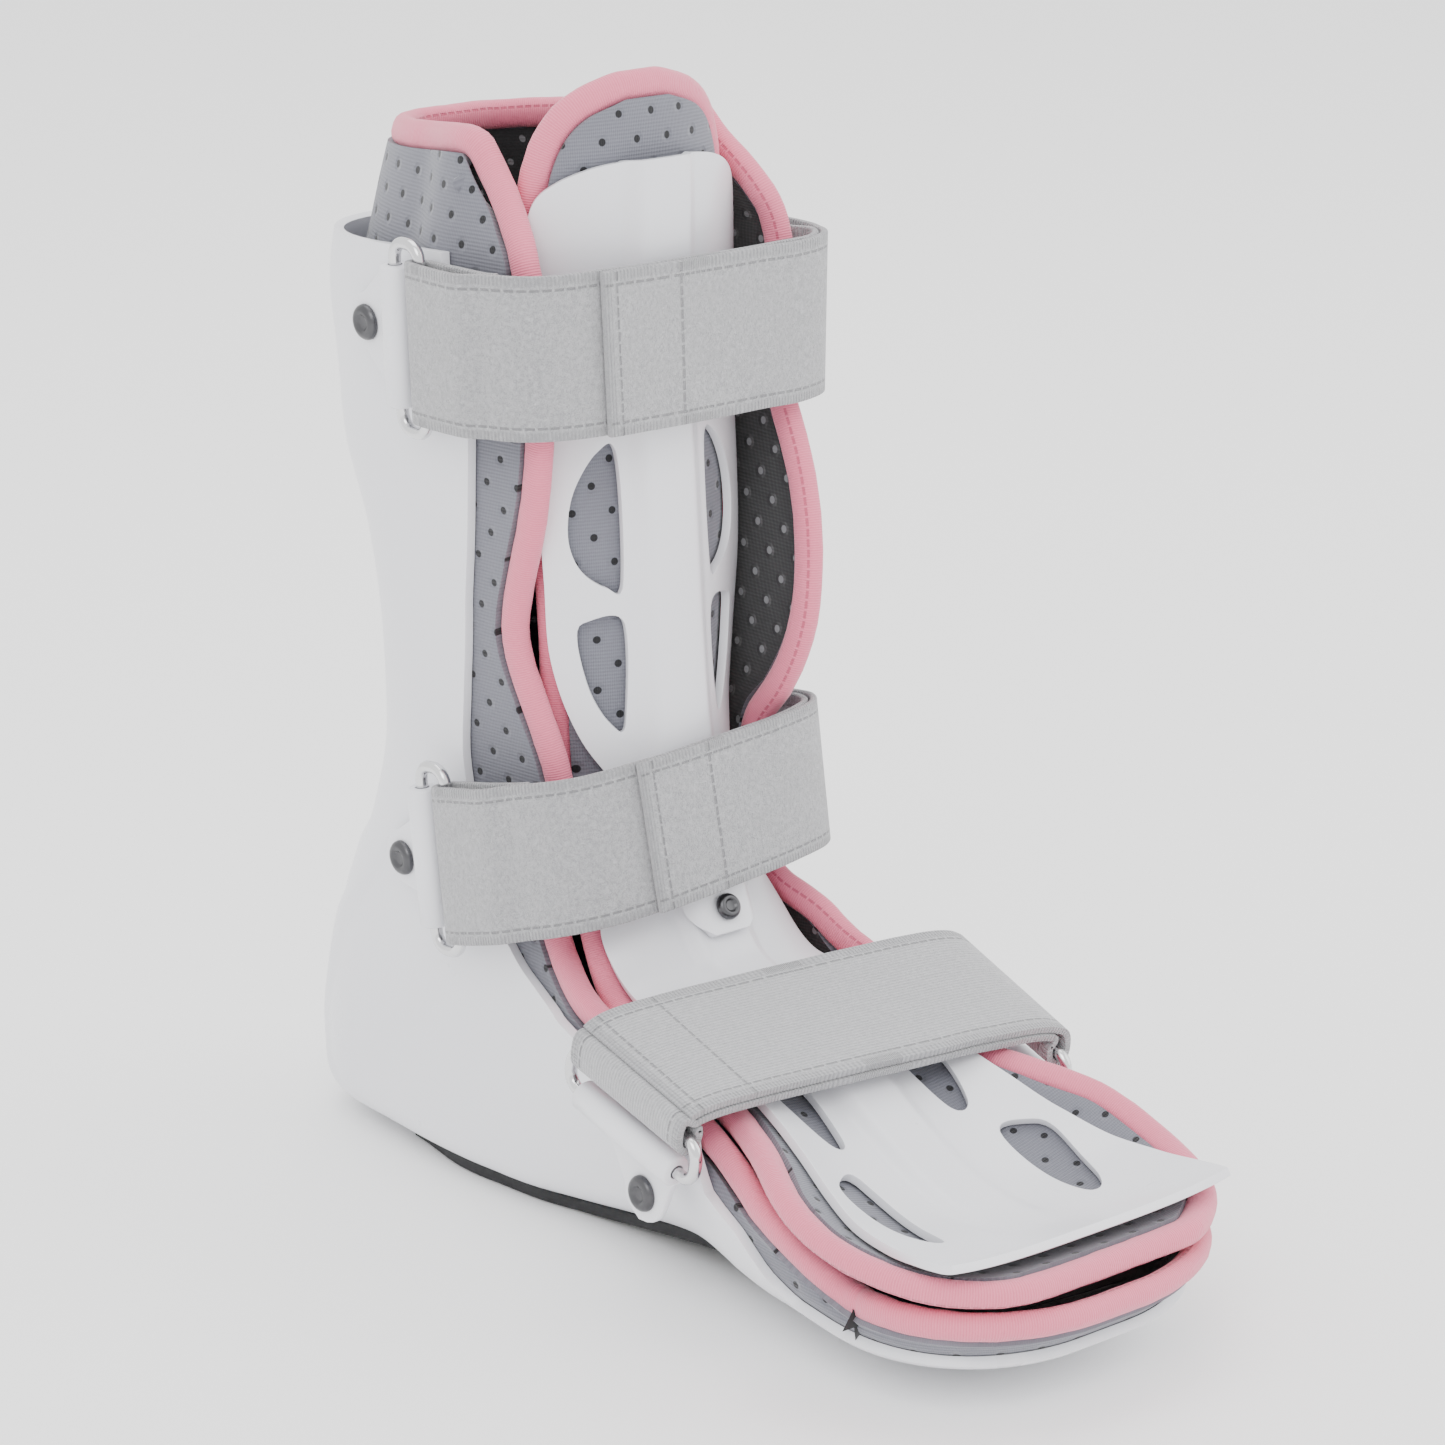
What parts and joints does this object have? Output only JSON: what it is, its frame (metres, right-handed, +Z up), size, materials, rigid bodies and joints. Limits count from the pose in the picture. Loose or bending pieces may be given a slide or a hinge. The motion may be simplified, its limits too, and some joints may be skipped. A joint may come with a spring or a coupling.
{
  "type": "walking boot",
  "caption": "Tall walking boot: moulded shell with padded liner and tongue, front plates, rocker sole, and wide straps on wire rings that close it over the foot and lower leg.",
  "frame": {"origin": "on the floor under the ankle, in the middle of the flat part of the sole", "axes": "+Z up along the leg, the toe points to -Y, +X is across the boot"},
  "size_m": [0.1509, 0.3465, 0.3552],
  "materials": {
    "white_plastic": "smooth moulded, soft gloss",
    "black_rubber": "matte",
    "grey_fabric": "ribbed padded fabric with small round holes",
    "pink_binding": "ribbed edge tape",
    "strap_felt": "brushed loop pile",
    "steel_wire": "polished",
    "dark_rivet": "dark satin metal"
  },
  "bodies": {
    "root": {"shell": "white_plastic", "shin_plate": "white_plastic", "foot_plate": "white_plastic", "outsole": "black_rubber", "liner": "grey_fabric", "tongue_pad": "grey_fabric", "liner_binding": "pink_binding", "tongue_binding": "pink_binding", "top_strap": "strap_felt", "top_ring_near": "steel_wire", "top_bracket_near": "white_plastic", "top_rivet_near": "dark_rivet", "top_ring_far": "steel_wire", "top_bracket_far": "white_plastic", "top_rivet_far": "dark_rivet", "ankle_strap": "strap_felt", "ankle_ring_near": "steel_wire", "ankle_bracket_near": "white_plastic", "ankle_rivet_near": "dark_rivet", "ankle_ring_far": "steel_wire", "ankle_bracket_far": "white_plastic", "ankle_rivet_far": "dark_rivet", "instep_strap": "strap_felt", "instep_ring_near": "steel_wire", "instep_bracket_near": "white_plastic", "instep_rivet_near": "dark_rivet", "instep_ring_far": "steel_wire", "instep_bracket_far": "white_plastic", "instep_rivet_far": "dark_rivet", "shin_rivet": "dark_rivet"}
  },
  "joints": []
}
